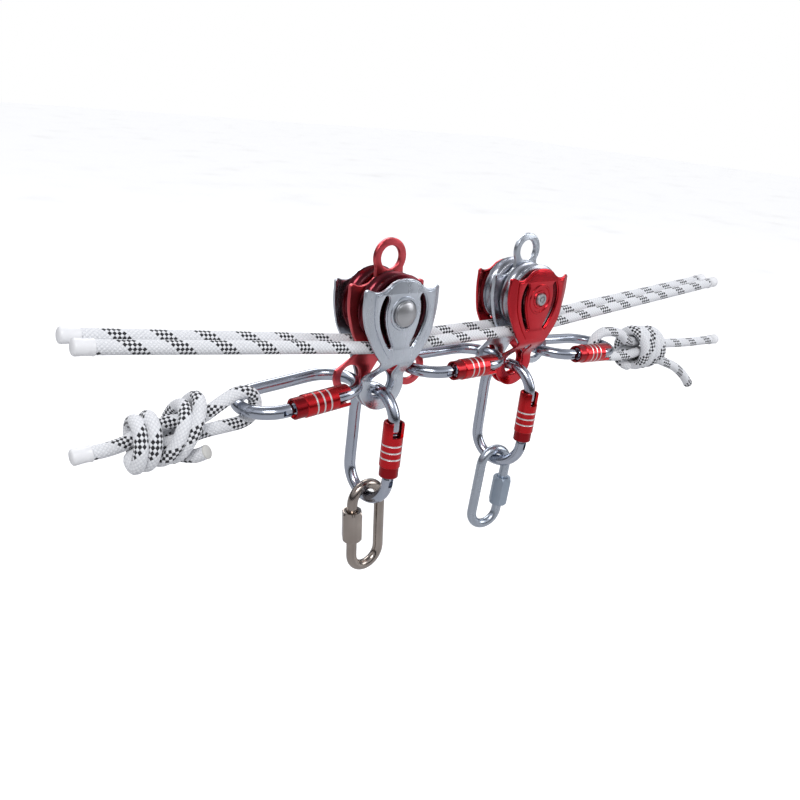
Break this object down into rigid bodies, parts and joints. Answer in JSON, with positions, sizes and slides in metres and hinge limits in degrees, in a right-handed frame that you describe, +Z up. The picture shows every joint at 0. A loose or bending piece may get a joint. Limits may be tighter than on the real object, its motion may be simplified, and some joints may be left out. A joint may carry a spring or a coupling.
{
  "type": "tandem rope pulley rig",
  "caption": "Double pulleys running on parallel ropes, tied together by oval screw-sleeve carabiners, with carabiners and quick links hanging below and knotted tag ropes at the ends.",
  "frame": {"origin": "midway between the two pulleys and between the two track ropes, at the height of the rope centres", "axes": "+X along the ropes to the right as seen from the front, +Y to the back, +Z up"},
  "size_m": [0.8347, 0.069, 0.3265],
  "materials": {
    "silver": "satin anodised",
    "red": "glossy anodised",
    "dark_red": "anodised",
    "polished": "polished",
    "sleeve_red": "bright anodised",
    "steel": "polished stainless",
    "zinc": "zinc plated",
    "rope": "braided polyester sheath with dark tracer",
    "end": "white shrink sleeve"
  },
  "bodies": {
    "frame": {"track_rope_front": "rope", "track_rope_front_end_left": "end", "track_rope_front_end_right": "end", "track_rope_rear": "rope", "track_rope_rear_end_left": "end", "track_rope_rear_end_right": "end", "center_plate_a": "red", "axle_a": "polished", "axle_rivet_a": "polished", "bearing_front_a": "steel", "bearing_rear_a": "steel", "center_plate_b": "silver", "axle_b": "polished", "axle_rivet_b": "polished", "bearing_front_b": "steel", "bearing_rear_b": "steel"},
    "wheel_front_a": {"sheave_front_a": "dark_red"},
    "cheek_front_a": {"side_plate_front_a": "silver"},
    "wheel_rear_a": {"sheave_rear_a": "dark_red"},
    "cheek_rear_a": {"side_plate_rear_a": "silver"},
    "wheel_front_b": {"sheave_front_b": "polished"},
    "cheek_front_b": {"side_plate_front_b": "red"},
    "wheel_rear_b": {"sheave_rear_b": "polished"},
    "cheek_rear_b": {"side_plate_rear_b": "red"},
    "hanging_a": {"carabiner_low_a_body": "polished", "carabiner_low_a_hinge_pin": "steel"},
    "hanging_a_gate": {"carabiner_low_a_gate": "polished"},
    "hanging_a_sleeve": {"carabiner_low_a_sleeve": "sleeve_red"},
    "hanging_b": {"carabiner_low_b_body": "polished", "carabiner_low_b_hinge_pin": "steel"},
    "hanging_b_gate": {"carabiner_low_b_gate": "polished"},
    "hanging_b_sleeve": {"carabiner_low_b_sleeve": "sleeve_red"},
    "level_left": {"carabiner_left_body": "polished", "carabiner_left_hinge_pin": "steel", "tag_loop_left": "rope", "tag_knot_left": "rope", "tag_standing_left": "rope", "tag_end_left": "end"},
    "level_left_gate": {"carabiner_left_gate": "polished"},
    "level_left_sleeve": {"carabiner_left_sleeve": "sleeve_red"},
    "level_middle": {"carabiner_middle_body": "polished", "carabiner_middle_hinge_pin": "steel"},
    "level_middle_gate": {"carabiner_middle_gate": "polished"},
    "level_middle_sleeve": {"carabiner_middle_sleeve": "sleeve_red"},
    "level_right": {"carabiner_right_body": "polished", "carabiner_right_hinge_pin": "steel", "tag_loop_right": "rope", "tag_knot_right": "rope", "tag_standing_right": "rope", "tag_end_right": "end", "tag_tail_right": "rope"},
    "level_right_gate": {"carabiner_right_gate": "polished"},
    "level_right_sleeve": {"carabiner_right_sleeve": "sleeve_red"},
    "link_a": {"quick_link_a_body": "steel"},
    "nut_a": {"quick_link_a_nut": "steel"},
    "link_b": {"quick_link_b_body": "zinc"},
    "nut_b": {"quick_link_b_nut": "zinc"}
  },
  "joints": [
    {"name": "wheel_front_a_spin", "type": "hinge", "parent": "frame", "child": "wheel_front_a", "pos_m": [-0.085, -0.012, 0.034], "axis": [0, 1, 0], "continuous": true},
    {"name": "cheek_front_a_swing", "type": "hinge", "parent": "frame", "child": "cheek_front_a", "pos_m": [-0.085, -0.0247, 0.034], "axis": [0, 1, 0], "range_deg": [-1.5, 1.5]},
    {"name": "wheel_rear_a_spin", "type": "hinge", "parent": "frame", "child": "wheel_rear_a", "pos_m": [-0.085, 0.012, 0.034], "axis": [0, 1, 0], "continuous": true},
    {"name": "cheek_rear_a_swing", "type": "hinge", "parent": "frame", "child": "cheek_rear_a", "pos_m": [-0.085, 0.0247, 0.034], "axis": [0, 1, 0], "range_deg": [-1.5, 1.5]},
    {"name": "wheel_front_b_spin", "type": "hinge", "parent": "frame", "child": "wheel_front_b", "pos_m": [0.085, -0.012, 0.034], "axis": [0, 1, 0], "continuous": true},
    {"name": "cheek_front_b_swing", "type": "hinge", "parent": "frame", "child": "cheek_front_b", "pos_m": [0.085, -0.0247, 0.034], "axis": [0, 1, 0], "range_deg": [-1.5, 1.5]},
    {"name": "wheel_rear_b_spin", "type": "hinge", "parent": "frame", "child": "wheel_rear_b", "pos_m": [0.085, 0.012, 0.034], "axis": [0, 1, 0], "continuous": true},
    {"name": "cheek_rear_b_swing", "type": "hinge", "parent": "frame", "child": "cheek_rear_b", "pos_m": [0.085, 0.0247, 0.034], "axis": [0, 1, 0], "range_deg": [-1.5, 1.5]},
    {"name": "hanging_a_swing", "type": "hinge", "parent": "frame", "child": "hanging_a", "pos_m": [-0.086, 0, -0.0432], "axis": [0, 1, 0], "range_deg": [-35, 35]},
    {"name": "hanging_a_gate_open", "type": "hinge", "parent": "hanging_a", "child": "hanging_a_gate", "pos_m": [-0.08575, -0.0269, -0.12333], "axis": [-0.9959, -0.0871, 0.0261], "range_deg": [0, 20], "stiffness_Nm_per_rad": 0.2, "springref_deg": -28.65},
    {"name": "hanging_a_sleeve_twist", "type": "hinge", "parent": "hanging_a_gate", "child": "hanging_a_sleeve", "pos_m": [-0.08505, -0.0269, -0.09684], "axis": [0.0262, 0, 0.9997], "range_deg": [-90, 0]},
    {"name": "hanging_b_swing", "type": "hinge", "parent": "frame", "child": "hanging_b", "pos_m": [0.0865, 0, -0.0414], "axis": [0, 1, 0], "range_deg": [-35, 35]},
    {"name": "hanging_b_gate_open", "type": "hinge", "parent": "hanging_b", "child": "hanging_b_gate", "pos_m": [0.09093, -0.0262, -0.12164], "axis": [-0.97, -0.2418, 0.0254], "range_deg": [0, 20], "stiffness_Nm_per_rad": 0.2, "springref_deg": -28.65},
    {"name": "hanging_b_sleeve_twist", "type": "hinge", "parent": "hanging_b_gate", "child": "hanging_b_sleeve", "pos_m": [0.09162, -0.0262, -0.09515], "axis": [0.0262, 0, 0.9997], "range_deg": [-90, 0]},
    {"name": "level_left_roll", "type": "hinge", "parent": "frame", "child": "level_left", "pos_m": [-0.1697, 0, -0.03415], "axis": [0.9962, 0, 0.0867], "range_deg": [-20, 20]},
    {"name": "level_left_gate_open", "type": "hinge", "parent": "level_left", "child": "level_left_gate", "pos_m": [-0.1961, -0.027, -0.03644], "axis": [-0.0867, 0, 0.9962], "range_deg": [0, 20], "stiffness_Nm_per_rad": 0.2, "springref_deg": -28.65},
    {"name": "level_left_sleeve_twist", "type": "hinge", "parent": "level_left_gate", "child": "level_left_sleeve", "pos_m": [-0.1697, -0.027, -0.03415], "axis": [0.9962, 0, 0.0867], "range_deg": [-90, 0]},
    {"name": "level_middle_roll", "type": "hinge", "parent": "frame", "child": "level_middle", "pos_m": [0.001, 0, -0.026], "axis": [1, 0, 0], "range_deg": [-20, 20]},
    {"name": "level_middle_gate_open", "type": "hinge", "parent": "level_middle", "child": "level_middle_gate", "pos_m": [-0.0255, -0.027, -0.026], "axis": [0, 0, 1], "range_deg": [0, 20], "stiffness_Nm_per_rad": 0.2, "springref_deg": -28.65},
    {"name": "level_middle_sleeve_twist", "type": "hinge", "parent": "level_middle_gate", "child": "level_middle_sleeve", "pos_m": [0.001, -0.027, -0.026], "axis": [1, 0, 0], "range_deg": [-90, 0]},
    {"name": "level_right_roll", "type": "hinge", "parent": "frame", "child": "level_right", "pos_m": [0.17568, 0, -0.03188], "axis": [0.9978, 0, -0.0669], "range_deg": [-20, 20]},
    {"name": "level_right_gate_open", "type": "hinge", "parent": "level_right", "child": "level_right_gate", "pos_m": [0.14924, -0.027, -0.03011], "axis": [0.0669, 0, 0.9978], "range_deg": [0, 20], "stiffness_Nm_per_rad": 0.2, "springref_deg": -28.65},
    {"name": "level_right_sleeve_twist", "type": "hinge", "parent": "level_right_gate", "child": "level_right_sleeve", "pos_m": [0.17568, -0.027, -0.03188], "axis": [0.9978, 0, -0.0669], "range_deg": [-90, 0]},
    {"name": "link_a_swing", "type": "hinge", "parent": "hanging_a", "child": "link_a", "pos_m": [-0.08881, 0, -0.15036], "axis": [-0.0871, 0.9962, 0.0023], "range_deg": [-25, 25]},
    {"name": "nut_a_slide", "type": "slide", "parent": "link_a", "child": "nut_a", "axis": [0.0697, 0.0037, -0.9976], "range_m": [0, 0.007]},
    {"name": "link_b_swing", "type": "hinge", "parent": "hanging_b", "child": "link_b", "pos_m": [0.08369, 0, -0.14856], "axis": [-0.2418, 0.9703, 0.0063], "range_deg": [-25, 25]},
    {"name": "nut_b_slide", "type": "slide", "parent": "link_b", "child": "nut_b", "axis": [-0.0691, 0.0097, -0.9976], "range_m": [0, 0.007]}
  ]
}
